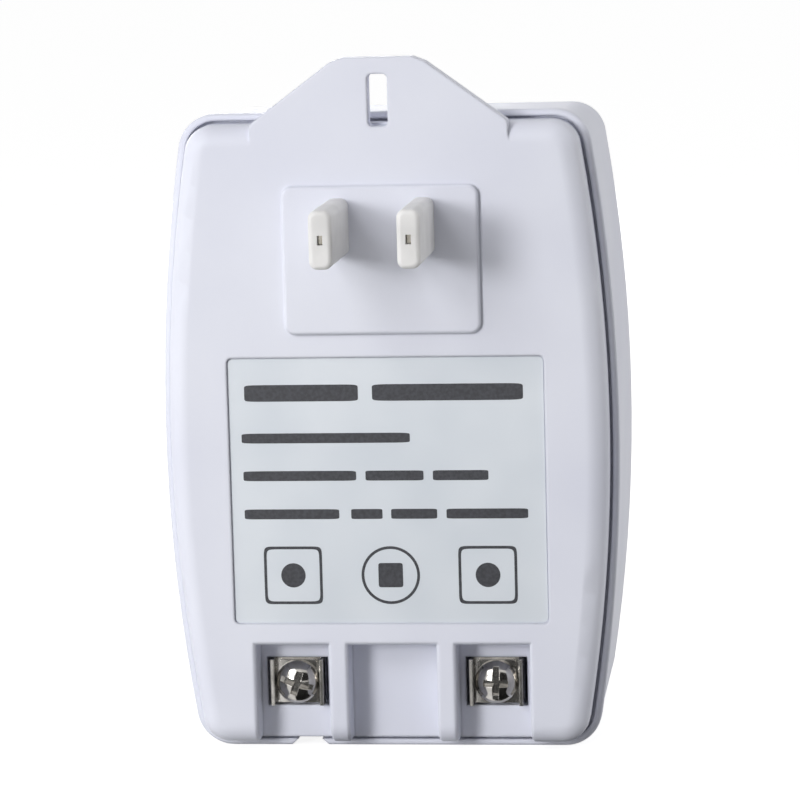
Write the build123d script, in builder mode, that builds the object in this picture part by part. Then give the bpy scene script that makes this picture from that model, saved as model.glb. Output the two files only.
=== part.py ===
from build123d import *
import os
from math import radians, tan

os.makedirs("parts", exist_ok=True)

# Plug-in transformer with screw terminals, in millimetres.
# The outlet's face is the plane Y = 0. The plug blades point to -Y and the case stands out to +Y.
# Seen from the wall, X runs to the right and Z runs up. The origin lies midway between the blades.

# Case outline, measured on the rim beside the seam
rim_width = 68.6
rim_above_plug = 16.4
rim_below_plug = 79.85
side_bow = 4.2
rim_corner = 5.6
rim_depth = 2.5
rim_step = 0.3
rim_bevel = 0.25
shell_top_drop = 1.3
draft_angle = 0.4
case_depth = 53.0
front_round = 5.0
case_wall = 2.4
front_wall = 2.5

# Pry notch in the rim's lower edge
notch_place = 13.6
notch_mouth = 5.7
notch_root = 3.1
notch_height = 1.2
notch_depth = 6.0

# Back cover, its seam and the tongue that plugs into the housing
pad_height = 0.8
cover_height = 6.0
ledge_width = 1.4
cover_round = 3.0
cover_wall = 2.5
reveal_width = 0.45
reveal_depth = 1.4
tongue_depth = 3.0
tongue_thickness = 1.3
tongue_clearance = 0.25

# Fixing ear on the cover's top edge
ear_base_width = 38.3
ear_top_width = 14.1
ear_rise = 9.1
ear_shoulder_rise = 0.2
ear_crown_width = 10.4
ear_crown_height = 0.7
ear_root = 7.0
ear_thickness = 3.0
ear_round = 0.4
ear_slot_width = 2.95
ear_slot_length = 7.75
ear_slot_margin = 1.75
ear_slot_round = 0.7

# Plug pad and blades
pad_width = 29.2
pad_above_plug = 6.0
pad_below_plug = 16.0
pad_corner = 1.6
pad_bevel = 0.3
blade_pitch = 12.7
blade_thickness = 1.5
blade_width = 6.35
blade_length = 17.5
blade_tip_chamfer = 1.1
blade_hole_diameter = 3.2
blade_hole_distance = 11.7
blade_boss_wall = 1.8
blade_boss_height = 3.2
blade_shoulder_height = 1.5
blade_shoulder_reach = 1.2
blade_tab_width = 4.0
blade_tab_overhang = 1.5
blade_tab_hole = 1.6
blade_slot_clearance = 0.05

# Push-on sleeves over the blades
sleeve_thickness = 3.4
sleeve_width = 8.5
sleeve_corner = 1.2
sleeve_tip_wall = 1.0
sleeve_tip_round = 0.7
sleeve_clearance = 0.05
sleeve_vent_width = 0.8
sleeve_vent_height = 1.4

# Label recess and film
label_width = 47.4
label_height = 40.35
label_below_pad = 3.5
label_recess = 0.5
label_corner = 0.8
film_thickness = 0.15
film_clearance = 0.15

# Terminal bays, open at the bottom
bay_height = 15.4
bay_depth = 5.5
middle_bay_width = 13.4
outer_bay_width = 11.1
bay_rib = 2.9
bay_wall = 2.0
bay_bevel = 0.35

# Terminal seat, plate, clamp washer and screw
terminal_drop = 6.75
pocket_width = 9.3
pocket_height = 7.5
pocket_depth = 1.4
seat_wall = 1.2
seat_thickness = 2.8
plate_width = 8.1
plate_height = 7.1
plate_thickness = 0.6
plate_flange_height = 2.1
plate_bend = 0.5
plate_collar_diameter = 5.0
plate_collar_height = 1.6
plate_tail_width = 4.0
plate_tail_overhang = 1.0
plate_clearance = 0.2
washer_width = 5.8
washer_height = 6.6
washer_thickness = 0.8
washer_corner = 0.5
screw_diameter = 3.5
screw_length = 8.0
screw_head_diameter = 6.5
screw_head_height = 2.3
screw_head_edge = 0.7
screw_tip_chamfer = 0.4
screw_clearance = 0.1
screw_slot_width = 0.9
screw_slot_depth = 0.9
screw_cross_length = 3.7
screw_cross_width = 1.0
screw_cross_depth = 1.5
left_slot_angle = -17.0
right_slot_angle = 88.0

# Laminated core, as wide as the case takes, and the room left round the coil
core_side_room = 5.7
core_below_plug = 32.0
coil_back_room = 3.3
coil_front_room = 0.6

# Coil former, coils and wraps
former_clearance = 0.3
former_wall = 1.0
former_flange = 1.2
former_end_clearance = 0.2
former_flange_margin = 0.65
coil_build = 6.4
coil_clearance = 0.05
wrap_thickness = 0.25
bar_width = 4.4
bar_end_margin = 1.85
bar_clearance = 1.05

# Solder pins and leads
pin_width = 0.8
pin_buried = 3.5
pin_exposed = 5.0
pin_clearance = 0.05
pin_inset = 5.4
lead_diameter = 1.7

# Thermal fuse on the primary coil
fuse_length = 9.0
fuse_width = 3.4
fuse_thickness = 2.2
fuse_wire_diameter = 0.6
fuse_wire_length = 4.0
fuse_round = 0.5

# Housing posts that seat the core and cover posts that clamp it
post_grip = 5.0
post_wall = 1.5
post_clearance = 0.2
post_height = 29.0
clamp_post_width = 4.6
clamp_post_inset = 3.4

# Depths from the outlet's face
face = pad_height
face_inner = face + cover_wall
seam = face + cover_height
shell_start = seam + rim_depth
front_inner = case_depth - front_wall
bay_floor = face + bay_depth
bay_back = bay_floor + bay_wall
seat_face = bay_floor + pocket_depth
seat_back = seat_face + seat_thickness
plate_face = seat_face - plate_thickness
washer_face = plate_face - washer_thickness
blade_boss_end = face_inner + blade_boss_height
blade_tab_start = blade_boss_end + blade_shoulder_height
coil_wall = former_clearance + former_wall + coil_clearance + coil_build + wrap_thickness + former_flange_margin
bar_back = face_inner + coil_back_room
core_back = bar_back + coil_wall
core_front = front_inner - coil_front_room - coil_wall
core_stack = core_front - core_back
core_middle = (core_front + core_back) / 2
pin_depth = bar_back + pin_inset

# Heights and widths that follow from the driving sizes
cover_top = rim_above_plug - ledge_width
cover_bottom = ledge_width - rim_below_plug
bay_top = cover_bottom + bay_height
terminal_height = bay_top - terminal_drop
terminal_place = middle_bay_width / 2 + bay_rib + outer_bay_width / 2
label_middle = -pad_below_plug - label_below_pad - label_height / 2
ear_top = cover_top + ear_rise

# The core's leg is the module of its stamped E and I shapes
core_leg = (rim_width / 2 - core_side_room) / 3
core_half_width = 3 * core_leg
core_half_height = 2.5 * core_leg
window_half_height = 1.5 * core_leg
former_half_height = window_half_height - former_end_clearance
bar_end = former_half_height - former_flange + bar_width
pin_end = bar_end + pin_exposed

# Outline insets, counted from the rim's outer edge at the seam
cavity_inset = rim_step + case_wall - rim_depth * tan(radians(draft_angle))
tongue_inset = cavity_inset + tongue_clearance
hollow_inset = tongue_inset + tongue_thickness


def wall_plane(depth):
    # Parallel to the wall: local x is X, local y is Z, and a negative extrusion goes into the case
    return Plane.XZ.offset(-depth)


def case_outline(inset, top_drop=0, foot_drop=0, rounded=True):
    # Barrel-sided outline drawn in from the rim's outer edge, its top and bottom lowered, its corners round or sharp
    half_middle = rim_width / 2 - inset
    half_end = half_middle - side_bow
    top = rim_above_plug - inset - top_drop
    bottom = inset - rim_below_plug - foot_drop
    middle = (top + bottom) / 2
    with BuildSketch() as outline:
        with BuildLine():
            Line((-half_end, top), (half_end, top))
            ThreePointArc((half_end, top), (half_middle, middle), (half_end, bottom))
            Line((half_end, bottom), (-half_end, bottom))
            ThreePointArc((-half_end, bottom), (-half_middle, middle), (-half_end, top))
        make_face()
        if rounded:
            fillet(outline.vertices(), rim_corner - inset)
    return outline.sketch


rim_outline = case_outline(0)
cover_outline = case_outline(ledge_width)
reveal_outline = case_outline(ledge_width - reveal_width)
shell_outline = case_outline(rim_step, shell_top_drop, rim_step, rounded=False)
cavity_outline = case_outline(cavity_inset, shell_top_drop)
tongue_outline = case_outline(tongue_inset, shell_top_drop)
hollow_outline = case_outline(hollow_inset, shell_top_drop)

both_sides = (-1, 1)
core_corners = [(x * core_half_width, z * core_half_height - core_below_plug) for x in both_sides for z in both_sides]


# Rim along the seam, bevelled on both sides
with BuildPart() as rim:
    with BuildSketch(wall_plane(seam)):
        add(rim_outline)
    extrude(amount=-rim_depth)
    chamfer(rim.faces().filter_by(Axis.Y).edges(), rim_bevel)


# Front housing: tub behind the rim, drafted on its sides and its lowered top, with a flat bottom to stand on
with BuildPart() as front_housing:
    with BuildSketch(wall_plane(shell_start)):
        add(shell_outline)
    extrude(amount=-(case_depth - shell_start))
    bottom, *drafted = front_housing.faces().filter_by(Axis.Y, reverse=True).sort_by(Axis.Z)
    draft(drafted, wall_plane(shell_start), -draft_angle)
    back, *_, front = front_housing.faces().sort_by(Axis.Y)
    fillet(front_housing.edges() - back.edges() - front.edges(), rim_corner - rim_step)
    fillet(front_housing.faces().sort_by(Axis.Y)[-1].edges(), front_round)
    add(rim.part)
    with BuildSketch(wall_plane(seam)):
        add(cavity_outline)
    extrude(amount=-(front_inner - seam), taper=draft_angle, mode=Mode.SUBTRACT)

    # Shadow gap in the rim, along the cover's edge
    with BuildSketch(wall_plane(seam)):
        add(reveal_outline)
        add(cover_outline, mode=Mode.SUBTRACT)
    extrude(amount=-reveal_depth, mode=Mode.SUBTRACT)

    # Corner posts and the pry notch
    post_side = post_grip + post_wall + post_clearance
    post_middle = (post_wall + post_clearance - post_grip) / 2
    with BuildSketch(wall_plane(front_inner)):
        for x, z in core_corners:
            outward_x = post_middle if x > 0 else -post_middle
            outward_z = post_middle if z > -core_below_plug else -post_middle
            with Locations((x + outward_x, z + outward_z)):
                Rectangle(post_side, post_side)
    extrude(amount=post_height)
    with BuildSketch(wall_plane(core_front)):
        with Locations((0, -core_below_plug)):
            Rectangle(2 * (core_half_width + post_clearance), 2 * (core_half_height + post_clearance))
    extrude(amount=post_height, mode=Mode.SUBTRACT)
    with BuildSketch(wall_plane(seam)):
        with BuildLine():
            Polyline(
                (-notch_place - notch_mouth / 2, -rim_below_plug),
                (-notch_place - notch_root / 2, notch_height - rim_below_plug),
                (-notch_place + notch_root / 2, notch_height - rim_below_plug),
                (-notch_place + notch_mouth / 2, -rim_below_plug),
                close=True,
            )
        make_face()
    extrude(amount=-notch_depth, mode=Mode.SUBTRACT)
front_housing.part.label = "front_housing"
export_step(front_housing.part, "parts/front_housing.step")


# Back cover: rounded shell with the ear, plug pad, label recess, terminal bays and inner bosses
with BuildPart() as back_cover:
    with BuildSketch(wall_plane(face)):
        add(cover_outline)
    extrude(amount=-cover_height)
    fillet(back_cover.faces().sort_by(Axis.Y)[0].edges(), cover_round)

    # Ear, flush with the cover's face
    with BuildSketch(wall_plane(face)) as ear:
        with BuildLine():
            Polyline(
                (-ear_base_width / 2, cover_top - ear_root),
                (-ear_base_width / 2, cover_top + ear_shoulder_rise),
                (-ear_top_width / 2, ear_top),
                (-ear_crown_width / 2, ear_top + ear_crown_height),
                (ear_crown_width / 2, ear_top + ear_crown_height),
                (ear_top_width / 2, ear_top),
                (ear_base_width / 2, cover_top + ear_shoulder_rise),
                (ear_base_width / 2, cover_top - ear_root),
                close=True,
            )
        make_face()
        fillet(ear.vertices().group_by(Axis.Y)[1], 1.0)
    extrude(amount=-ear_thickness)

    # Tongue and hollow
    with BuildSketch(wall_plane(seam)):
        add(tongue_outline)
    extrude(amount=-tongue_depth)
    with BuildSketch(wall_plane(face_inner)):
        add(hollow_outline)
    extrude(amount=-(seam + tongue_depth - face_inner), mode=Mode.SUBTRACT)

    # Solid behind the bays, kept inside the tongue's outline
    bays_width = 2 * (terminal_place + outer_bay_width / 2)
    with BuildSketch(wall_plane(face_inner)):
        add(tongue_outline)
        with Locations((0, bay_top + bay_wall)):
            Rectangle(bays_width + 2 * bay_wall, rim_below_plug, align=(Align.CENTER, Align.MAX), mode=Mode.INTERSECT)
    extrude(amount=-(bay_back - face_inner))

    # Terminal seats, blade bosses and the posts that clamp the core
    with BuildSketch(wall_plane(bay_back)):
        with Locations(*[(side * terminal_place, terminal_height) for side in both_sides]):
            Rectangle(pocket_width + 2 * seat_wall, pocket_height + 2 * seat_wall)
    extrude(amount=-(seat_back - bay_back))
    with BuildSketch(wall_plane(face_inner)):
        with Locations(*[(side * blade_pitch / 2, 0) for side in both_sides]):
            Rectangle(blade_thickness + 2 * blade_boss_wall, blade_width + 2 * blade_boss_wall)
    extrude(amount=-blade_boss_height)
    with BuildSketch(wall_plane(face_inner)):
        for x, z in core_corners:
            inward_x = -clamp_post_inset if x > 0 else clamp_post_inset
            inward_z = -clamp_post_inset if z > -core_below_plug else clamp_post_inset
            with Locations((x + inward_x, z + inward_z)):
                Rectangle(clamp_post_width, clamp_post_width)
    extrude(amount=-(core_back - face_inner))

    # Plug pad
    with BuildSketch(wall_plane(face)) as pad:
        with Locations((0, (pad_above_plug - pad_below_plug) / 2)):
            RectangleRounded(pad_width, pad_above_plug + pad_below_plug, pad_corner)
    extrude(amount=pad_height)
    chamfer(back_cover.faces().sort_by(Axis.Y)[0].edges(), pad_bevel)

    # Bays and label recess
    with BuildSketch(wall_plane(face)):
        with Locations((0, bay_top)):
            Rectangle(middle_bay_width, 2 * bay_height, align=(Align.CENTER, Align.MAX))
        with Locations(*[(side * terminal_place, bay_top) for side in both_sides]):
            Rectangle(outer_bay_width, 2 * bay_height, align=(Align.CENTER, Align.MAX))
    extrude(amount=-bay_depth, mode=Mode.SUBTRACT)
    with BuildSketch(wall_plane(face)):
        with Locations((0, label_middle)):
            RectangleRounded(label_width, label_height, label_corner)
    extrude(amount=-label_recess, mode=Mode.SUBTRACT)

    # Ear slot and blade slots, right through
    with BuildSketch(wall_plane(face)):
        with Locations((0, ear_top - ear_slot_margin - ear_slot_length / 2)):
            RectangleRounded(ear_slot_width, ear_slot_length, ear_slot_round)
    extrude(amount=-ear_thickness, mode=Mode.SUBTRACT)
    with BuildSketch(wall_plane(0)):
        with Locations(*[(side * blade_pitch / 2, 0) for side in both_sides]):
            Rectangle(blade_thickness + 2 * blade_slot_clearance, blade_width + 2 * blade_slot_clearance)
    extrude(amount=-blade_boss_end, mode=Mode.SUBTRACT)

    # Pockets for the terminal plates, with slots beside the plate, for its tail and for its collar
    slot_width = (pocket_width - plate_width) / 2
    with BuildSketch(wall_plane(bay_floor)):
        with Locations(*[(side * terminal_place, terminal_height) for side in both_sides]):
            Rectangle(pocket_width, pocket_height)
    extrude(amount=-pocket_depth, mode=Mode.SUBTRACT)
    with BuildSketch(wall_plane(seat_face)):
        for side in both_sides:
            with Locations(*[(side * terminal_place + end * (plate_width + slot_width) / 2, terminal_height)
                             for end in both_sides]):
                Rectangle(slot_width, pocket_height)
            with Locations((side * terminal_place, terminal_height)):
                Circle(plate_collar_diameter / 2 + plate_clearance)
            with Locations((side * terminal_place, terminal_height + pocket_height / 2)):
                tail_slot = plate_thickness + pocket_height / 2 - plate_height / 2 + plate_clearance
                Rectangle(plate_tail_width + 2 * plate_clearance, tail_slot, align=(Align.CENTER, Align.MAX))
    extrude(amount=-seat_thickness, mode=Mode.SUBTRACT)

    # Bevelled bay edges on the cover's face
    face_edges = back_cover.edges().filter_by_position(Axis.Y, face - 0.01, face + 0.01)
    bay_edges = face_edges.filter_by_position(Axis.Z, cover_bottom, bay_top + 0.01)
    bay_uprights = bay_edges.filter_by(Axis.Z).filter_by_position(Axis.X, -bays_width / 2 - 0.01, bays_width / 2 + 0.01)
    bay_heads = bay_edges.filter_by_position(Axis.Z, bay_top - 0.01, bay_top + 0.01)
    chamfer(bay_uprights + bay_heads, bay_bevel)
back_cover.part.label = "back_cover"
export_step(back_cover.part, "parts/back_cover.step")


# Label film, bare, lying in its recess
with BuildPart() as rating_label:
    with BuildSketch(wall_plane(face + label_recess)):
        with Locations((0, label_middle)):
            RectangleRounded(label_width - 2 * film_clearance, label_height - 2 * film_clearance, label_corner)
    extrude(amount=film_thickness)
rating_label.part.label = "rating_label"
export_step(rating_label.part, "parts/rating_label.step")


# Plug blades with a shoulder behind the boss and a solder tab, and the sleeves pushed over them
for name, side in (("left", -1), ("right", 1)):
    blade_plane = Plane.YZ.offset(side * blade_pitch / 2)
    with BuildPart() as blade:
        with BuildSketch(blade_plane) as profile:
            with Locations((-blade_length, 0)):
                Rectangle(blade_length + blade_boss_end, blade_width, align=(Align.MIN, Align.CENTER))
            chamfer(profile.vertices().group_by(Axis.X)[0], blade_tip_chamfer)
            with Locations((blade_boss_end, 0)):
                Rectangle(blade_shoulder_height, blade_width + 2 * blade_shoulder_reach,
                          align=(Align.MIN, Align.CENTER))
            with Locations((blade_tab_start, 0)):
                Rectangle(pin_depth + blade_tab_overhang - blade_tab_start, blade_tab_width,
                          align=(Align.MIN, Align.CENTER))
            with Locations((-blade_hole_distance, 0)):
                Circle(blade_hole_diameter / 2, mode=Mode.SUBTRACT)
            with Locations((blade_tab_start + blade_tab_hole, 0)):
                Circle(blade_tab_hole / 2, mode=Mode.SUBTRACT)
        extrude(amount=blade_thickness / 2, both=True)
    blade.part.label = name + "_blade"
    export_step(blade.part, "parts/" + name + "_blade.step")

    sleeve_end = blade_length + sleeve_clearance + sleeve_tip_wall
    with BuildPart() as sleeve:
        with BuildSketch(wall_plane(0)):
            with Locations((side * blade_pitch / 2, 0)):
                RectangleRounded(sleeve_thickness, sleeve_width, sleeve_corner)
        extrude(amount=sleeve_end)
        fillet(sleeve.faces().sort_by(Axis.Y)[0].edges(), sleeve_tip_round)
        with BuildSketch(wall_plane(0)):
            with Locations((side * blade_pitch / 2, 0)):
                Rectangle(blade_thickness + 2 * sleeve_clearance, blade_width + 2 * sleeve_clearance)
        extrude(amount=blade_length + sleeve_clearance, mode=Mode.SUBTRACT)
        with BuildSketch(wall_plane(0)):
            with Locations((side * blade_pitch / 2, 0)):
                Rectangle(sleeve_vent_width, sleeve_vent_height)
        extrude(amount=sleeve_end, mode=Mode.SUBTRACT)
    sleeve.part.label = name + "_blade_sleeve"
    export_step(sleeve.part, "parts/" + name + "_blade_sleeve.step")


# Terminals: a formed plate in its pocket, a square washer and a pan-head screw that clamp the wire
for name, side, slot_angle in (("left", -1, left_slot_angle), ("right", 1, right_slot_angle)):
    terminal_middle = (side * terminal_place, terminal_height)
    plate_foot = Plane.XY.offset(terminal_height - plate_height / 2)
    with BuildPart() as plate:
        with BuildSketch(plate_foot) as channel:
            with Locations((side * terminal_place, seat_face)):
                Rectangle(plate_width, plate_thickness + plate_flange_height, align=(Align.CENTER, Align.MAX))
            fillet(channel.vertices().group_by(Axis.Y)[-1], plate_bend)
            with Locations((side * terminal_place, plate_face)):
                Rectangle(plate_width - 2 * plate_thickness, plate_flange_height,
                          align=(Align.CENTER, Align.MAX), mode=Mode.SUBTRACT)
        extrude(amount=plate_height)
        with BuildSketch(wall_plane(plate_face)):
            with Locations((side * terminal_place, terminal_height + plate_height / 2)):
                Rectangle(plate_tail_width, plate_thickness, align=(Align.CENTER, Align.MAX))
        extrude(amount=-(pin_depth + plate_tail_overhang - plate_face))
        with BuildSketch(wall_plane(seat_face)):
            with Locations(terminal_middle):
                Circle(plate_collar_diameter / 2)
        extrude(amount=-plate_collar_height)
        with BuildSketch(wall_plane(plate_face)):
            with Locations(terminal_middle):
                Circle(screw_diameter / 2 + screw_clearance)
        extrude(amount=-(plate_thickness + plate_collar_height), mode=Mode.SUBTRACT)
    plate.part.label = name + "_terminal_plate"
    export_step(plate.part, "parts/" + name + "_terminal_plate.step")

    with BuildPart() as washer:
        with BuildSketch(wall_plane(plate_face)):
            with Locations(terminal_middle):
                RectangleRounded(washer_width, washer_height, washer_corner)
                Circle(screw_diameter / 2 + screw_clearance, mode=Mode.SUBTRACT)
        extrude(amount=washer_thickness)
    washer.part.label = name + "_clamp_washer"
    export_step(washer.part, "parts/" + name + "_clamp_washer.step")

    # Turned screw: domed head towards the wall, plain shank, and the drive cut into the dome
    head_top = washer_face - screw_head_height
    head_radius = screw_head_diameter / 2
    with BuildPart() as screw:
        with BuildSketch(Plane((side * terminal_place, 0, terminal_height))):
            with BuildLine():
                Polyline(
                    (0, washer_face + screw_length),
                    (screw_diameter / 2 - screw_tip_chamfer, washer_face + screw_length),
                    (screw_diameter / 2, washer_face + screw_length - screw_tip_chamfer),
                    (screw_diameter / 2, washer_face),
                    (head_radius, washer_face),
                    (head_radius, washer_face - screw_head_edge),
                )
                TangentArc((0, head_top), (head_radius, washer_face - screw_head_edge), tangent=(1, 0))
                Line((0, head_top), (0, washer_face + screw_length))
            make_face()
        revolve(axis=Axis((side * terminal_place, 0, terminal_height), (0, 1, 0)))
        with BuildSketch(wall_plane(head_top)):
            with Locations(Location((*terminal_middle, 0), slot_angle)):
                Rectangle(screw_head_diameter, screw_slot_width)
        extrude(amount=-screw_slot_depth, mode=Mode.SUBTRACT)
        with BuildSketch(wall_plane(head_top)):
            with Locations(Location((*terminal_middle, 0), slot_angle)):
                Rectangle(screw_cross_length, screw_cross_width)
                Rectangle(screw_cross_width, screw_cross_length)
        extrude(amount=-screw_cross_depth, mode=Mode.SUBTRACT)
    screw.part.label = name + "_terminal_screw"
    export_step(screw.part, "parts/" + name + "_terminal_screw.step")


# Laminated core: the E stack's legs hang from its yoke, and the I stack closes them below
with BuildPart() as core_e_stack:
    with BuildSketch(wall_plane(core_back)):
        with Locations((0, core_half_height - core_below_plug)):
            Rectangle(2 * core_half_width, 4 * core_leg, align=(Align.CENTER, Align.MAX))
        with Locations(*[(side * 1.5 * core_leg, window_half_height - core_below_plug) for side in both_sides]):
            Rectangle(core_leg, 2 * window_half_height, align=(Align.CENTER, Align.MAX), mode=Mode.SUBTRACT)
    extrude(amount=-core_stack)
core_e_stack.part.label = "core_e_stack"
export_step(core_e_stack.part, "parts/core_e_stack.step")

with BuildPart() as core_i_stack:
    with BuildSketch(wall_plane(core_back)):
        with Locations((0, -window_half_height - core_below_plug)):
            Rectangle(2 * core_half_width, core_leg, align=(Align.CENTER, Align.MAX))
    extrude(amount=-core_stack)
core_i_stack.part.label = "core_i_stack"
export_step(core_i_stack.part, "parts/core_i_stack.step")


# Sections round the centre leg, each drawn across the coil's upright axis
coil_middle = (0, core_middle)
bore_width = 2 * (core_leg + former_clearance)
bore_depth = core_stack + 2 * former_clearance
tube_width = bore_width + 2 * former_wall
tube_depth = bore_depth + 2 * former_wall
coil_width = tube_width + 2 * (coil_clearance + coil_build)
coil_depth = tube_depth + 2 * (coil_clearance + coil_build)
wrap_width = coil_width + 2 * wrap_thickness
wrap_depth = coil_depth + 2 * wrap_thickness
flange_width = wrap_width + 2 * former_flange_margin
flange_depth = wrap_depth + 2 * former_flange_margin
section_height = former_half_height - 1.5 * former_flange
pin_places = {"primary": blade_pitch / 2, "secondary": terminal_place}


def coil_plane(height):
    # Level plane at a height counted from the coil's middle: local x is X and local y is Y
    return Plane.XY.offset(height - core_below_plug)


# Coil former: a tube on the centre leg, three flanges, and a pin bar at each end
with BuildPart() as bobbin:
    with BuildSketch(coil_plane(-former_half_height)):
        with Locations(coil_middle):
            Rectangle(tube_width, tube_depth)
    extrude(amount=2 * former_half_height)
    for flange_start in (-former_half_height, -former_flange / 2, former_half_height - former_flange):
        with BuildSketch(coil_plane(flange_start)):
            with Locations(coil_middle):
                Rectangle(flange_width, flange_depth)
        extrude(amount=former_flange)
    for bar_start in (-bar_end, bar_end - bar_width):
        with BuildSketch(coil_plane(bar_start)):
            with Locations((0, bar_back)):
                Rectangle(2 * (terminal_place + bar_end_margin), coil_wall - bar_clearance,
                          align=(Align.CENTER, Align.MIN))
        extrude(amount=bar_width)
    with BuildSketch(coil_plane(-former_half_height)):
        with Locations(coil_middle):
            Rectangle(bore_width, bore_depth)
    extrude(amount=2 * former_half_height, mode=Mode.SUBTRACT)
    for upward, place in ((1, pin_places["primary"]), (-1, pin_places["secondary"])):
        with BuildSketch(coil_plane(upward * bar_end)):
            with Locations(*[(side * place, pin_depth) for side in both_sides]):
                Rectangle(pin_width + 2 * pin_clearance, pin_width + 2 * pin_clearance)
        extrude(amount=-upward * pin_buried, mode=Mode.SUBTRACT)
bobbin.part.label = "bobbin"
export_step(bobbin.part, "parts/bobbin.step")


# Coils, their wraps and the pins: the primary is above, towards the blades, and the secondary below
for name, upward in (("primary", 1), ("secondary", -1)):
    section_middle = upward * (former_flange + section_height) / 2
    with BuildPart() as winding:
        with BuildSketch(coil_plane(section_middle)):
            with Locations(coil_middle):
                Rectangle(coil_width, coil_depth)
                Rectangle(tube_width + 2 * coil_clearance, tube_depth + 2 * coil_clearance, mode=Mode.SUBTRACT)
        extrude(amount=section_height / 2 - coil_clearance, both=True)
    winding.part.label = name + "_winding"
    export_step(winding.part, "parts/" + name + "_winding.step")

    with BuildPart() as wrap:
        with BuildSketch(coil_plane(section_middle)):
            with Locations(coil_middle):
                Rectangle(wrap_width, wrap_depth)
                Rectangle(coil_width, coil_depth, mode=Mode.SUBTRACT)
        extrude(amount=section_height / 2 - coil_clearance, both=True)
    wrap.part.label = name + "_tape"
    export_step(wrap.part, "parts/" + name + "_tape.step")

    with BuildPart() as pins:
        with BuildSketch(coil_plane(upward * (bar_end - pin_buried))):
            with Locations(*[(side * pin_places[name], pin_depth) for side in both_sides]):
                Rectangle(pin_width, pin_width)
        extrude(amount=upward * (pin_buried + pin_exposed))
    pins.part.label = name + "_pins"
    export_step(pins.part, "parts/" + name + "_pins.step")


# Thermal fuse with its two wires, lying across the primary wrap
fuse_depth = core_middle - wrap_depth / 2 - fuse_thickness / 2
fuse_height = (former_flange + section_height) / 2 - core_below_plug
with BuildPart() as thermal_fuse:
    with BuildSketch(Plane.YZ):
        with Locations((fuse_depth, fuse_height)):
            Rectangle(fuse_thickness, fuse_width)
    extrude(amount=fuse_length / 2, both=True)
    fillet(thermal_fuse.edges().filter_by(Axis.X).group_by(Axis.Y)[0], fuse_round)
    with BuildSketch(Plane.YZ):
        with Locations((fuse_depth, fuse_height)):
            Circle(fuse_wire_diameter / 2)
    extrude(amount=fuse_length / 2 + fuse_wire_length, both=True)
thermal_fuse.part.label = "thermal_fuse"
export_step(thermal_fuse.part, "parts/thermal_fuse.step")


# Insulated leads: from the upper pins to the blades' tabs, and from the lower pins to the plates' tails
tab_edge = -blade_tab_width / 2
tail_edge = terminal_height + plate_height / 2
lead_ends = {"primary": (pin_end - core_below_plug, tab_edge), "secondary": (-pin_end - core_below_plug, tail_edge)}
for side_name, side in (("left", -1), ("right", 1)):
    for name, (pin_tip, landing) in lead_ends.items():
        with BuildPart() as lead:
            with BuildSketch(Plane.XY.offset(pin_tip)):
                with Locations((side * pin_places[name], pin_depth)):
                    Circle(lead_diameter / 2)
            extrude(amount=landing - pin_tip)
        lead.part.label = side_name + "_" + name + "_lead"
        export_step(lead.part, "parts/" + side_name + "_" + name + "_lead.step")
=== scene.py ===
import math

import bpy
import numpy as np
from mathutils import Matrix, Vector


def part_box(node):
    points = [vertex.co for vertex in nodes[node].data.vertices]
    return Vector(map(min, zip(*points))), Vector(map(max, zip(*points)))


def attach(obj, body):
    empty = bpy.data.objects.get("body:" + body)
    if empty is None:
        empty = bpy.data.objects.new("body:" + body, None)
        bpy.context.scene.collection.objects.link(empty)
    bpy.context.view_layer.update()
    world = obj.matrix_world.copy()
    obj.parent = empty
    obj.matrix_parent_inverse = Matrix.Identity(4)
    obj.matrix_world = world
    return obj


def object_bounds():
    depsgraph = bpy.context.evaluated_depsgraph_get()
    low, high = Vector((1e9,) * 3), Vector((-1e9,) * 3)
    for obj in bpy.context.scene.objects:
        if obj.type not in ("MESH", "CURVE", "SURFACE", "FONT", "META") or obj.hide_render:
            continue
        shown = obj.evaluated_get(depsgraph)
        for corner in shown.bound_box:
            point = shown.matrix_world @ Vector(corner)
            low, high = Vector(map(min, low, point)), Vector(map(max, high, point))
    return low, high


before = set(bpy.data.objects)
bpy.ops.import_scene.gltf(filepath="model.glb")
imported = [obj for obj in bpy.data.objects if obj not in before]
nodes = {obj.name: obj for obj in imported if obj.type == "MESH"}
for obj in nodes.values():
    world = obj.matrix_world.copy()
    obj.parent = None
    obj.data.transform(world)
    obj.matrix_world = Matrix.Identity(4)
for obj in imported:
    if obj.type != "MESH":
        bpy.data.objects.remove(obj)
cadLow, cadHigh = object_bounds()
millimetre = 0.001
noiseStops = (0.35, 0.65)  # where the two colours of a noise pattern lie, as most of its range is between
noiseLow, noiseHigh = 0.3, 0.7  # the part of a noise pattern that is stretched over a range of roughness
edgeSamples = 4  # rays that look for an edge to soften
white = (1.0, 1.0, 1.0, 1.0)
print("frame loaded with", len(nodes), "nodes")


def hexColour(code):
    # sRGB hex to linear light, with full alpha
    parts = np.array([int(code[i:i + 2], 16) for i in (1, 3, 5)]) / 255
    linear = np.where(parts <= 0.04045, parts / 12.92, ((parts + 0.055) / 1.055) ** 2.4)
    return (*linear.tolist(), 1.0)


def addNode(tree, kind, inputs=None, ramp=(), **settings):
    # one node with its settings, colour stops, fixed values and incoming links
    node = tree.nodes.new(kind)
    for name, value in settings.items():
        setattr(node, name, value)
    for index, (position, colour) in enumerate(ramp):
        node.color_ramp.elements[index].position = position
        node.color_ramp.elements[index].color = hexColour(colour)
    for name, value in (inputs or {}).items():
        if isinstance(value, bpy.types.NodeSocket):
            tree.links.new(value, node.inputs[name])
        else:
            node.inputs[name].default_value = value
    return node


def emptyTree(owner):
    # the node tree of a material or world, with its first nodes taken out
    owner.use_nodes = True
    owner.node_tree.nodes.clear()
    return owner.node_tree


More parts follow.
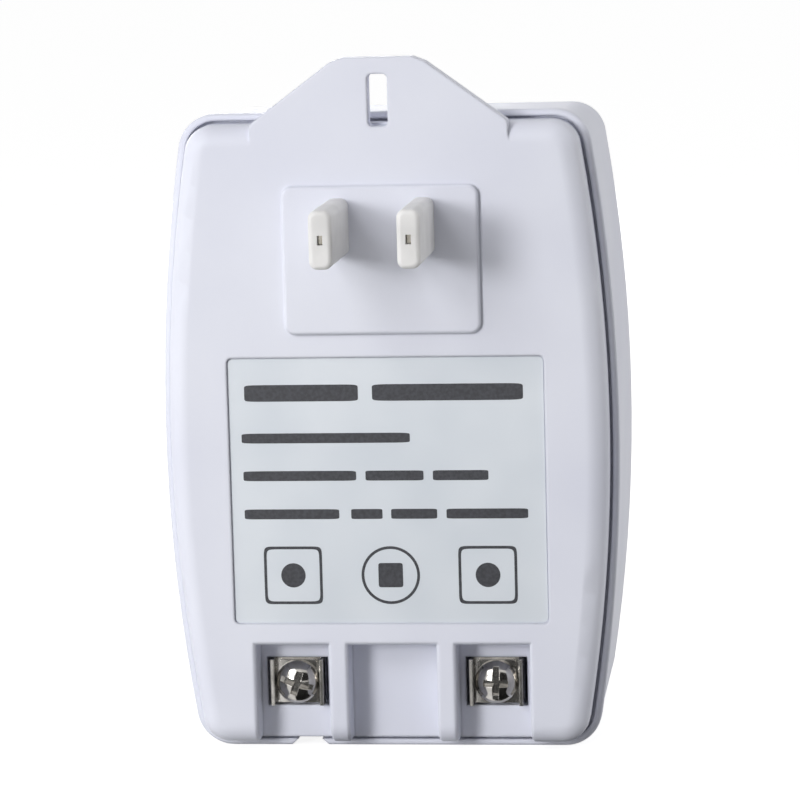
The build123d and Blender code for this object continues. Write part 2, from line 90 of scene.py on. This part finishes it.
def newMaterial(name):
    material = bpy.data.materials.new(name)
    tree = emptyTree(material)
    shader = addNode(tree, "ShaderNodeBsdfPrincipled")
    addNode(tree, "ShaderNodeOutputMaterial", {"Surface": shader.outputs["BSDF"]})
    place = addNode(tree, "ShaderNodeTexCoord").outputs["Object"]
    return material, tree, shader, place


def perMetre(featureMm):
    # a texture's scale from the size of one of its features
    return 1 / (featureMm * millimetre)


def bandsPerMetre(featureMm):
    # a band texture repeats every tenth of pi divided by its scale
    return math.pi / 10 * perMetre(featureMm)


def dress(material, *names):
    for name in names:
        data = nodes[name].data
        data.materials.clear()
        data.materials.append(material)


# Case: white ABS moulded against a spark-eroded tool, a satin skin with a grain just fine enough to see
caseLook = {"colour": "#e0e2ec", "shade": "#d9dbe7", "toneMm": 30.0, "toneDetail": 2.0,
            "grainMm": 0.3, "grainDetail": 3.0, "grainDepthMm": 0.01, "grainStrength": 0.4,
            "roughLow": 0.5, "roughHigh": 0.62, "ior": 1.53, "edgeMm": 0.6}


def makeCasePlastic(look):
    material, tree, shader, place = newMaterial("ABS moulded white")
    tone = addNode(tree, "ShaderNodeTexNoise", {
        "Vector": place, "Scale": perMetre(look["toneMm"]), "Detail": look["toneDetail"]})
    grain = addNode(tree, "ShaderNodeTexNoise", {
        "Vector": place, "Scale": perMetre(look["grainMm"]), "Detail": look["grainDetail"]})
    skin = addNode(tree, "ShaderNodeValToRGB", {"Fac": tone.outputs["Fac"]},
                   ramp=zip(noiseStops, (look["shade"], look["colour"])))
    rough = addNode(tree, "ShaderNodeMapRange", {
        "Value": grain.outputs["Fac"], "From Min": noiseLow, "From Max": noiseHigh,
        "To Min": look["roughLow"], "To Max": look["roughHigh"]})
    edge = addNode(tree, "ShaderNodeBevel", {"Radius": look["edgeMm"] * millimetre}, samples=edgeSamples)
    bump = addNode(tree, "ShaderNodeBump", {
        "Height": grain.outputs["Fac"], "Strength": look["grainStrength"],
        "Distance": look["grainDepthMm"] * millimetre, "Normal": edge.outputs["Normal"]})
    tree.links.new(skin.outputs["Color"], shader.inputs["Base Color"])
    tree.links.new(rough.outputs["Result"], shader.inputs["Roughness"])
    tree.links.new(bump.outputs["Normal"], shader.inputs["Normal"])
    shader.inputs["IOR"].default_value = look["ior"]
    return material


dress(makeCasePlastic(caseLook), "front_housing", "back_cover")

# Sleeves: soft PVC pulled over the blades, warmer and duller than the case, a little light goes through
sleeveLook = {"colour": "#e4e3e2", "shade": "#dad9d8", "toneMm": 5.0, "toneDetail": 1.0,
              "rippleMm": 1.6, "rippleDetail": 1.0, "rippleDepthMm": 0.03, "rippleStrength": 0.5,
              "roughness": 0.5, "scatter": 0.25, "scatterMm": 0.9, "ior": 1.52}


def makeSleevePlastic(look):
    material, tree, shader, place = newMaterial("PVC dipped soft white")
    tone = addNode(tree, "ShaderNodeTexNoise", {
        "Vector": place, "Scale": perMetre(look["toneMm"]), "Detail": look["toneDetail"]})
    ripple = addNode(tree, "ShaderNodeTexNoise", {
        "Vector": place, "Scale": perMetre(look["rippleMm"]), "Detail": look["rippleDetail"]})
    skin = addNode(tree, "ShaderNodeValToRGB", {"Fac": tone.outputs["Fac"]},
                   ramp=zip(noiseStops, (look["shade"], look["colour"])))
    bump = addNode(tree, "ShaderNodeBump", {
        "Height": ripple.outputs["Fac"], "Strength": look["rippleStrength"],
        "Distance": look["rippleDepthMm"] * millimetre})
    tree.links.new(skin.outputs["Color"], shader.inputs["Base Color"])
    tree.links.new(bump.outputs["Normal"], shader.inputs["Normal"])
    shader.inputs["Roughness"].default_value = look["roughness"]
    shader.inputs["IOR"].default_value = look["ior"]
    shader.inputs["Subsurface Weight"].default_value = look["scatter"]
    shader.inputs["Subsurface Radius"].default_value = (1.0, 1.0, 1.0)
    shader.inputs["Subsurface Scale"].default_value = look["scatterMm"] * millimetre
    return material


dress(makeSleevePlastic(sleeveLook), "left_blade_sleeve", "right_blade_sleeve")

# Label: polyester film with a silver backing, satin, with the slight clouding that glue leaves under it
filmLook = {"colour": "#cfd5dc", "pale": "#d8dde3", "cloudMm": 14.0, "cloudDetail": 1.5,
            "roughness": 0.36, "metallic": 0.1}


def makeFilm(look):
    material, tree, shader, place = newMaterial("polyester film silver satin")
    cloud = addNode(tree, "ShaderNodeTexNoise", {
        "Vector": place, "Scale": perMetre(look["cloudMm"]), "Detail": look["cloudDetail"]})
    skin = addNode(tree, "ShaderNodeValToRGB", {"Fac": cloud.outputs["Fac"]},
                   ramp=zip(noiseStops, (look["colour"], look["pale"])))
    tree.links.new(skin.outputs["Color"], shader.inputs["Base Color"])
    shader.inputs["Roughness"].default_value = look["roughness"]
    shader.inputs["Metallic"].default_value = look["metallic"]
    return material


dress(makeFilm(filmLook), "rating_label")

# Screws and washers: nickel on turned steel, bright, dulled in patches by handling
nickelLook = {"bright": "#c2bfba", "dull": "#a3a09b", "patchMm": 2.5, "patchDetail": 4.0,
              "patchStops": (0.36, 0.6), "scratchMm": 0.2, "scratchDetail": 2.0,
              "roughLow": 0.08, "roughHigh": 0.18, "edgeMm": 0.12}
# Terminal plates: the same plating on a stamping, whose edges are rolled over by the cut
plateLook = {**nickelLook, "edgeMm": 0.3, "roughLow": 0.14, "roughHigh": 0.26}
# Blades and pins: the same plating on brass, a little yellower and darker, the darkness being painted shade
# for the blades seen through the sleeves' vents
ventShadeBrassLook = {**nickelLook, "bright": "#a19d94", "dull": "#827e76"}


def makePlating(look, name):
    material, tree, shader, place = newMaterial(name)
    patch = addNode(tree, "ShaderNodeTexNoise", {
        "Vector": place, "Scale": perMetre(look["patchMm"]), "Detail": look["patchDetail"]})
    scratch = addNode(tree, "ShaderNodeTexNoise", {
        "Vector": place, "Scale": perMetre(look["scratchMm"]), "Detail": look["scratchDetail"]})
    skin = addNode(tree, "ShaderNodeValToRGB", {"Fac": patch.outputs["Fac"]},
                   ramp=zip(look["patchStops"], (look["dull"], look["bright"])))
    rough = addNode(tree, "ShaderNodeMapRange", {
        "Value": scratch.outputs["Fac"], "From Min": noiseLow, "From Max": noiseHigh,
        "To Min": look["roughLow"], "To Max": look["roughHigh"]})
    edge = addNode(tree, "ShaderNodeBevel", {"Radius": look["edgeMm"] * millimetre}, samples=edgeSamples)
    tree.links.new(skin.outputs["Color"], shader.inputs["Base Color"])
    tree.links.new(rough.outputs["Result"], shader.inputs["Roughness"])
    tree.links.new(edge.outputs["Normal"], shader.inputs["Normal"])
    shader.inputs["Metallic"].default_value = 1.0
    return material


nickel = makePlating(nickelLook, "steel turned nickel plated")
stampedNickel = makePlating(plateLook, "steel stamped nickel plated")
# the darker plating is painted shade inside the sleeves' vents
ventShadeBrass = makePlating(ventShadeBrassLook, "brass nickel plated")
dress(nickel, "left_clamp_washer", "right_clamp_washer", "left_terminal_screw", "right_terminal_screw")
dress(stampedNickel, "left_terminal_plate", "right_terminal_plate")
dress(ventShadeBrass, "left_blade", "right_blade", "primary_pins", "secondary_pins")

# Core: silicon steel sheets stacked front to back and varnished, so fine dark lines run round the stack
coreLook = {"sheet": "#5d6068", "gap": "#26272b", "sheetMm": 0.5, "gapStops": (0.1, 0.35),
            "gapDepthMm": 0.05, "gapStrength": 0.5, "rust": "#5a4636", "rustMm": 6.0, "rustDetail": 5.0,
            "rustStart": 0.58, "rustEnd": 0.72, "rustShare": 0.5, "metallic": 0.6, "roughness": 0.45}


def makeCoreSteel(look):
    material, tree, shader, place = newMaterial("silicon steel laminated varnished")
    lines = addNode(tree, "ShaderNodeTexWave", {
        "Vector": place, "Scale": bandsPerMetre(look["sheetMm"]), "Distortion": 0.0}, bands_direction="Y")
    rust = addNode(tree, "ShaderNodeTexNoise", {
        "Vector": place, "Scale": perMetre(look["rustMm"]), "Detail": look["rustDetail"]})
    sheets = addNode(tree, "ShaderNodeValToRGB", {"Fac": lines.outputs["Fac"]},
                     ramp=zip(look["gapStops"], (look["gap"], look["sheet"])))
    spots = addNode(tree, "ShaderNodeMapRange", {
        "Value": rust.outputs["Fac"], "From Min": look["rustStart"], "From Max": look["rustEnd"],
        "To Max": look["rustShare"]})
    stained = addNode(tree, "ShaderNodeMixRGB", {
        "Fac": spots.outputs["Result"], "Color1": sheets.outputs["Color"], "Color2": hexColour(look["rust"])})
    bump = addNode(tree, "ShaderNodeBump", {
        "Height": lines.outputs["Fac"], "Strength": look["gapStrength"],
        "Distance": look["gapDepthMm"] * millimetre})
    tree.links.new(stained.outputs["Color"], shader.inputs["Base Color"])
    tree.links.new(bump.outputs["Normal"], shader.inputs["Normal"])
    shader.inputs["Metallic"].default_value = look["metallic"]
    shader.inputs["Roughness"].default_value = look["roughness"]
    return material


dress(makeCoreSteel(coreLook), "core_e_stack", "core_i_stack")

# Coils: enamelled copper wire wound side by side, each turn a fine ridge across the coil's height, with
# painted shade darkening the grooves between turns
coilLook = {"copper": "#a65a32", "gap": "#4a2312", "wireMm": 0.5, "waver": 0.4, "gapStops": (0.05, 0.5),
            "ridgeShare": 1 / 3, "ridgeStrength": 0.8, "metallic": 0.8, "roughness": 0.3}


def makeCopperWire(look):
    material, tree, shader, place = newMaterial("copper enamelled wire wound")
    turns = addNode(tree, "ShaderNodeTexWave", {
        "Vector": place, "Scale": bandsPerMetre(look["wireMm"]), "Distortion": look["waver"]},
        bands_direction="Z")
    # the dark end of the ramp is painted shade in the grooves between turns
    wire = addNode(tree, "ShaderNodeValToRGB", {"Fac": turns.outputs["Fac"]},
                   ramp=zip(look["gapStops"], (look["gap"], look["copper"])))
    bump = addNode(tree, "ShaderNodeBump", {
        "Height": turns.outputs["Fac"], "Strength": look["ridgeStrength"],
        "Distance": look["wireMm"] * look["ridgeShare"] * millimetre})
    tree.links.new(wire.outputs["Color"], shader.inputs["Base Color"])
    tree.links.new(bump.outputs["Normal"], shader.inputs["Normal"])
    shader.inputs["Metallic"].default_value = look["metallic"]
    shader.inputs["Roughness"].default_value = look["roughness"]
    return material


dress(makeCopperWire(coilLook), "primary_winding", "secondary_winding")

# Wraps: yellow polyester tape, glossy, with the edges of its layers showing as faint steps
wrapLook = {"colour": "#d8b23a", "shade": "#c79d2a", "layerMm": 4.0, "waver": 1.5, "stepStops": (0.0, 0.2),
            "roughness": 0.24}


def makeWrap(look):
    material, tree, shader, place = newMaterial("polyester tape yellow")
    layers = addNode(tree, "ShaderNodeTexWave", {
        "Vector": place, "Scale": bandsPerMetre(look["layerMm"]), "Distortion": look["waver"]},
        bands_direction="Z", wave_profile="SAW")
    skin = addNode(tree, "ShaderNodeValToRGB", {"Fac": layers.outputs["Fac"]},
                   ramp=zip(look["stepStops"], (look["shade"], look["colour"])))
    tree.links.new(skin.outputs["Color"], shader.inputs["Base Color"])
    shader.inputs["Roughness"].default_value = look["roughness"]
    return material


dress(makeWrap(wrapLook), "primary_tape", "secondary_tape")

# Former, fuse and leads: black nylon, black phenolic and PVC, each with a faint grain of its own
grainLook = {"detail": 3.0, "depthMm": 0.02, "strength": 0.4}
nylonLook = {**grainLook, "colour": "#2a2b2e", "shade": "#1f2022", "grainMm": 0.6, "roughness": 0.5}
phenolicLook = {**grainLook, "colour": "#232426", "shade": "#18191a", "grainMm": 0.4, "roughness": 0.42}
leadLook = {**grainLook, "colour": "#26272a", "shade": "#1c1d20", "grainMm": 0.9, "roughness": 0.4}


def makeDullPlastic(look, name):
    material, tree, shader, place = newMaterial(name)
    grain = addNode(tree, "ShaderNodeTexNoise", {
        "Vector": place, "Scale": perMetre(look["grainMm"]), "Detail": look["detail"]})
    skin = addNode(tree, "ShaderNodeValToRGB", {"Fac": grain.outputs["Fac"]},
                   ramp=zip(noiseStops, (look["shade"], look["colour"])))
    bump = addNode(tree, "ShaderNodeBump", {
        "Height": grain.outputs["Fac"], "Strength": look["strength"],
        "Distance": look["depthMm"] * millimetre})
    tree.links.new(skin.outputs["Color"], shader.inputs["Base Color"])
    tree.links.new(bump.outputs["Normal"], shader.inputs["Normal"])
    shader.inputs["Roughness"].default_value = look["roughness"]
    return material


dress(makeDullPlastic(nylonLook, "nylon moulded black"), "bobbin")
dress(makeDullPlastic(phenolicLook, "phenolic moulded black"), "thermal_fuse")
dress(makeDullPlastic(leadLook, "PVC extruded black"), "left_primary_lead", "right_primary_lead",
      "left_secondary_lead", "right_secondary_lead")
print("materials on all nodes")


def addPiece(name, points, faces, material, body):
    # a mesh from whole arrays, carried by a body of the frame
    mesh = bpy.data.meshes.new(name)
    mesh.from_pydata(points.tolist(), [], faces)
    mesh.validate()
    mesh.materials.append(material)
    piece = bpy.data.objects.new(name, mesh)
    bpy.context.scene.collection.objects.link(piece)
    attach(piece, body)


# Label print: dark screen ink, one even coat that stands a hair above the film, as plain bars and outlines;
# each row has its drop from the film's top, its height, and where its bars start and end, in mm
printLook = {"colour": "#2b2c31", "shade": "#3a3b41", "mottleMm": 0.5, "mottleDetail": 2.0,
             "roughness": 0.55, "coatMm": 0.02,
             "rows": [(-5.2, 2.5, [(-21.2, -4.1), (-2.0, 20.5)]),
                      (-12.0, 1.5, [(-21.8, 3.5)]),
                      (-17.7, 1.5, [(-21.7, -4.7), (-3.3, 5.4), (6.8, 15.1)]),
                      (-23.5, 1.5, [(-21.7, -7.4), (-5.6, -0.9), (0.4, 7.3), (8.7, 20.9)])],
             "shapesMm": -32.8, "shapePlacesMm": [-14.6, 0.1, 14.7], "shapeSizeMm": 4.4, "lineMm": 0.42,
             "coreShare": 0.42, "squareness": 12, "roundness": 2}


def superellipse(centre, halfWidth, halfHeight, power, count=64):
    # walked by angle: across is the half width times the cosine, and up the half height times the sine, where
    # cosine and sine keep their signs and are raised to two over the power, so a high power gives a rectangle
    angle = np.linspace(0, 2 * math.pi, count, endpoint=False)
    c, s = np.cos(angle), np.sin(angle)
    x = centre[0] + halfWidth * np.sign(c) * np.abs(c) ** (2 / power)
    z = centre[1] + halfHeight * np.sign(s) * np.abs(s) ** (2 / power)
    return np.column_stack((x, z)) * millimetre


def inkRings(outlines, front, back):
    # each outline at its front depth and at its back depth, one ring of points after the other
    count = len(outlines[0])
    points = [np.column_stack((line[:, 0], np.full(count, depth), line[:, 1]))
              for line in outlines for depth in (front, back)]
    here = np.arange(count)
    return np.concatenate(points), here, (here + 1) % count, count


def filledInk(outline, front, back):
    # the outline's inside as one flat face in front and behind, with a wall of quads between them
    points, here, after, count = inkRings([outline], front, back)
    wall = np.column_stack((here, count + here, count + after, after))
    return points, [here.tolist(), (count + here[::-1]).tolist(), *wall.tolist()]


def outlinedInk(outer, inner, front, back):
    # the band between two outlines in front and behind, with a wall of quads outside and another inside
    points, here, after, count = inkRings([outer, inner], front, back)
    bands = [(here, after, 2 * count + after, 2 * count + here),
             (count + here, 3 * count + here, 3 * count + after, count + after),
             (here, count + here, count + after, after),
             (2 * count + here, 2 * count + after, 3 * count + after, 3 * count + here)]
    return points, np.concatenate([np.column_stack(band) for band in bands]).tolist()


def makeInk(look):
    material, tree, shader, place = newMaterial("screen ink charcoal")
    mottle = addNode(tree, "ShaderNodeTexNoise", {
        "Vector": place, "Scale": perMetre(look["mottleMm"]), "Detail": look["mottleDetail"]})
    skin = addNode(tree, "ShaderNodeValToRGB", {"Fac": mottle.outputs["Fac"]},
                   ramp=zip(noiseStops, (look["colour"], look["shade"])))
    tree.links.new(skin.outputs["Color"], shader.inputs["Base Color"])
    shader.inputs["Roughness"].default_value = look["roughness"]
    return material


def makePrint(look):
    filmLow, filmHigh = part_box("rating_label")
    depths = (filmLow.y - look["coatMm"] * millimetre, (filmLow.y + filmHigh.y) / 2)
    top = filmHigh.z / millimetre
    square, disc = look["squareness"], look["roundness"]
    coats = []
    for drop, tall, bars in look["rows"]:
        for start, end in bars:
            bar = superellipse(((start + end) / 2, top + drop), (end - start) / 2, tall / 2, square)
            coats.append(filledInk(bar, *depths))
    half = look["shapeSizeMm"]
    core, thin = half * look["coreShare"], half - look["lineMm"]
    for x, around, within in zip(look["shapePlacesMm"], (square, disc, square), (disc, square, disc)):
        centre = (x, top + look["shapesMm"])
        outer, inner = (superellipse(centre, size, size, around) for size in (half, thin))
        coats.append(outlinedInk(outer, inner, *depths))
        coats.append(filledInk(superellipse(centre, core, core, within), *depths))
    starts = np.cumsum([0] + [len(points) for points, faces in coats])
    faces = [(np.asarray(face) + first).tolist() for first, coat in zip(starts, coats) for face in coat[1]]
    points = np.concatenate([coat[0] for coat in coats])
    addPiece("labelPrint", points, faces, makeInk(look), "case")


makePrint(printLook)

# Screw threads: a rolled ridge on each shank, in the same plating, that rises and fades over part of a turn
threadLook = {"pitchMm": 0.794, "rootMm": 1.7, "crestMm": 1.83, "ridgeMm": 0.5, "startMm": 0.3, "endMm": 7.4,
              "stepsPerTurn": 28, "fadeTurns": 0.4, "leastRise": 0.05}


def threadRidge(look, centre, start):
    # a triangle carried along a helix: the angle runs with the depth, one turn for each pitch
    length = look["endMm"] - look["startMm"]
    steps = int(length / look["pitchMm"] * look["stepsPerTurn"])
    travel = np.linspace(0, length, steps)
    angle = -2 * math.pi * travel / look["pitchMm"]
    toEnd = np.minimum(travel, length - travel)
    fade = np.clip(toEnd / (look["fadeTurns"] * look["pitchMm"]), look["leastRise"], 1)
    root = np.full(steps, look["rootMm"])
    crest = look["rootMm"] + (look["crestMm"] - look["rootMm"]) * fade
    radii = millimetre * np.stack((root, crest, root), axis=1)
    across = look["ridgeMm"] * np.array([-0.5, 0, 0.5])
    depth = millimetre * (look["startMm"] + travel[:, None] + across[None, :])
    x = centre[0] + radii * np.cos(angle)[:, None]
    z = centre[1] + radii * np.sin(angle)[:, None]
    points = np.stack((x, start + depth, z), axis=2).reshape(-1, 3)
    row = 3 * np.arange(steps - 1)[:, None]
    corner = np.arange(3)[None, :]
    following = (corner + 1) % 3
    quads = np.stack((row + corner, row + 3 + corner, row + 3 + following, row + following), axis=2)
    last = 3 * (steps - 1)
    return points, quads.reshape(-1, 4).tolist() + [[0, 1, 2], [last + 2, last + 1, last]]


for side in ("left", "right"):
    washerLow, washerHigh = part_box(side + "_clamp_washer")
    middle = (washerLow + washerHigh) / 2
    points, faces = threadRidge(threadLook, (middle.x, middle.z), washerLow.y)
    addPiece(side + "ScrewThread", points, faces, nickel, side + "_screw")
print("label print and screw threads made")

# Camera: a long lens a little right of and above the plug, rolled as the photograph is
cameraView = {"azimuth": 7.0, "elevation": 8.5, "roll": 1.5, "distance": 0.55, "pixelsPerMm": 6.8,
              "originPixel": (379.8, 226.5), "imageSize": 800, "sensorMm": 36.0, "clip": (0.01, 50.0)}


def placeCamera(view):
    data = bpy.data.cameras.new("photoCamera")
    camera = bpy.data.objects.new("photoCamera", data)
    bpy.context.scene.collection.objects.link(camera)
    a, e, r = (math.radians(view[key]) for key in ("azimuth", "elevation", "roll"))
    back = Vector((math.sin(a) * math.cos(e), -math.cos(a) * math.cos(e), math.sin(e)))
    level = Vector((0, 0, 1)).cross(back).normalized()
    upright = back.cross(level)
    right = level * math.cos(r) - upright * math.sin(r)
    up = upright * math.cos(r) + level * math.sin(r)
    focalPixels = view["pixelsPerMm"] / millimetre * view["distance"]
    half = view["imageSize"] / 2
    offsetRight = (view["originPixel"][0] - half) / focalPixels * view["distance"]
    offsetUp = (half - view["originPixel"][1]) / focalPixels * view["distance"]
    place = back * view["distance"] - right * offsetRight - up * offsetUp
    turn = Matrix((right, up, back)).transposed().to_4x4()
    camera.matrix_world = Matrix.Translation(place) @ turn
    data.sensor_width = view["sensorMm"]
    data.lens = view["sensorMm"] * focalPixels / view["imageSize"]
    data.clip_start, data.clip_end = view["clip"]
    bpy.context.scene.camera = camera


placeCamera(cameraView)

# Studio: a key low on the left for the shadows, a broad light above it, a weak one on each side, two behind
# for the far side, and pale surroundings that are dimmer below
studio = {"aim": (0.0, 0.01, -0.03),
          "lamps": {"keyLamp": {"place": (-0.52, -0.85, 0.16), "size": 0.28, "power": 4.6},
                    "upperLamp": {"place": (-0.45, -0.7, 0.55), "size": 0.5, "power": 3.0},
                    "sideLamp": {"place": (-0.45, -0.1, 0.05), "size": 0.3, "power": 0.4},
                    "rightLamp": {"place": (0.42, 0.1, 0.12), "size": 0.25, "power": 0.5},
                    "rearLamp": {"place": (-0.25, 0.85, 0.06), "size": 0.4, "power": 3.4},
                    "leftRearLamp": {"place": (-0.35, 0.4, 0.15), "size": 0.25, "power": 0.6}},
          "skyStrength": 0.36, "groundStrength": 0.14, "horizonBlend": 0.6,
          "floorColour": "#a2a2a2", "floorLift": 0.86, "floorHalf": 4.0, "floorGapMm": 0.05,
          "cardColour": "#141414", "cardRoughness": 0.9,
          "cards": {"leftLowCard": [(-0.035, -0.1, -0.0785), (-0.004, -0.1, -0.0785),
                                    (-0.004, 0.006, -0.0785), (-0.0165, 0.006, -0.0785)],
                    "rightLowCard": [(-0.004, -0.1, -0.0785), (0.25, -0.1, -0.0785),
                                     (0.03, 0.006, -0.0785), (0.014, 0.006, -0.0785)],
                    "rightCard": [(0.07, -0.3, -0.07), (0.4, -0.3, -0.07),
                                  (0.4, -0.3, 0.2), (0.07, -0.3, 0.2)]}}


def softLamp(name, look, aim):
    data = bpy.data.lights.new(name, "AREA")
    data.shape, data.size, data.energy = "DISK", look["size"], look["power"]
    lamp = bpy.data.objects.new(name, data)
    bpy.context.scene.collection.objects.link(lamp)
    turn = (Vector(aim) - Vector(look["place"])).to_track_quat("-Z", "Y").to_matrix().to_4x4()
    lamp.matrix_world = Matrix.Translation(look["place"]) @ turn
    lamp.visible_camera = False


def stagePlane(name, corners, material):
    mesh = bpy.data.meshes.new(name)
    mesh.from_pydata(corners, [], [range(len(corners))])
    mesh.materials.append(material)
    plane = bpy.data.objects.new(name, mesh)
    bpy.context.scene.collection.objects.link(plane)
    return plane


def seenDirectly(tree):
    # one for the rays that show the surroundings: camera, mirror and glass rays
    path = addNode(tree, "ShaderNodeLightPath").outputs
    mirrored = addNode(tree, "ShaderNodeMath", {0: path["Is Camera Ray"], 1: path["Is Glossy Ray"]},
                       operation="MAXIMUM")
    seen = addNode(tree, "ShaderNodeMath", {0: mirrored.outputs[0], 1: path["Is Transmission Ray"]},
                   operation="MAXIMUM")
    return seen.outputs[0]


def makeWorld(look):
    world = bpy.data.worlds.new("studioWorld")
    bpy.context.scene.world = world
    tree = emptyTree(world)
    way = addNode(tree, "ShaderNodeTexCoord").outputs["Generated"]
    height = addNode(tree, "ShaderNodeSeparateXYZ", {"Vector": way}).outputs["Z"]
    strength = addNode(tree, "ShaderNodeMapRange", {
        "Value": height, "From Min": -look["horizonBlend"], "From Max": look["horizonBlend"],
        "To Min": look["groundStrength"], "To Max": look["skyStrength"]})
    ambient = addNode(tree, "ShaderNodeBackground", {"Color": white, "Strength": strength.outputs["Result"]})
    backdrop = addNode(tree, "ShaderNodeBackground", {"Color": white, "Strength": 1.0})
    shown = addNode(tree, "ShaderNodeMixShader", {
        0: seenDirectly(tree), 1: ambient.outputs[0], 2: backdrop.outputs[0]})
    addNode(tree, "ShaderNodeOutputWorld", {"Surface": shown.outputs[0]})


def makeFloor(look):
    material = bpy.data.materials.new("floor pale matt")
    tree = emptyTree(material)
    matt = addNode(tree, "ShaderNodeBsdfDiffuse", {"Color": hexColour(look["floorColour"])})
    lift = addNode(tree, "ShaderNodeMath", {0: seenDirectly(tree), 1: look["floorLift"]},
                   operation="MULTIPLY")
    glow = addNode(tree, "ShaderNodeEmission", {"Color": white, "Strength": lift.outputs[0]})
    both = addNode(tree, "ShaderNodeAddShader", {0: matt.outputs[0], 1: glow.outputs[0]})
    addNode(tree, "ShaderNodeOutputMaterial", {"Surface": both.outputs[0]})
    half = look["floorHalf"]
    level = cadLow.z - look["floorGapMm"] * millimetre
    corners = [(-half, -half, level), (half, -half, level), (half, half, level), (-half, half, level)]
    stagePlane("paleFloor", corners, material)


def makeCards(look):
    # dark cards that only mirror rays meet, so that the bright metal has something dark to show
    material, _, shader, _ = newMaterial("card black matt")
    shader.inputs["Base Color"].default_value = hexColour(look["cardColour"])
    shader.inputs["Roughness"].default_value = look["cardRoughness"]
    for name, corners in look["cards"].items():
        card = stagePlane(name, corners, material)
        card.visible_camera = card.visible_diffuse = card.visible_shadow = card.visible_transmission = False


def makeStudio(look):
    for name, lamp in look["lamps"].items():
        softLamp(name, lamp, look["aim"])
    makeWorld(look)
    makeFloor(look)
    makeCards(look)


makeStudio(studio)
bpy.context.scene.view_settings.view_transform = "Standard"
print("camera and studio set")
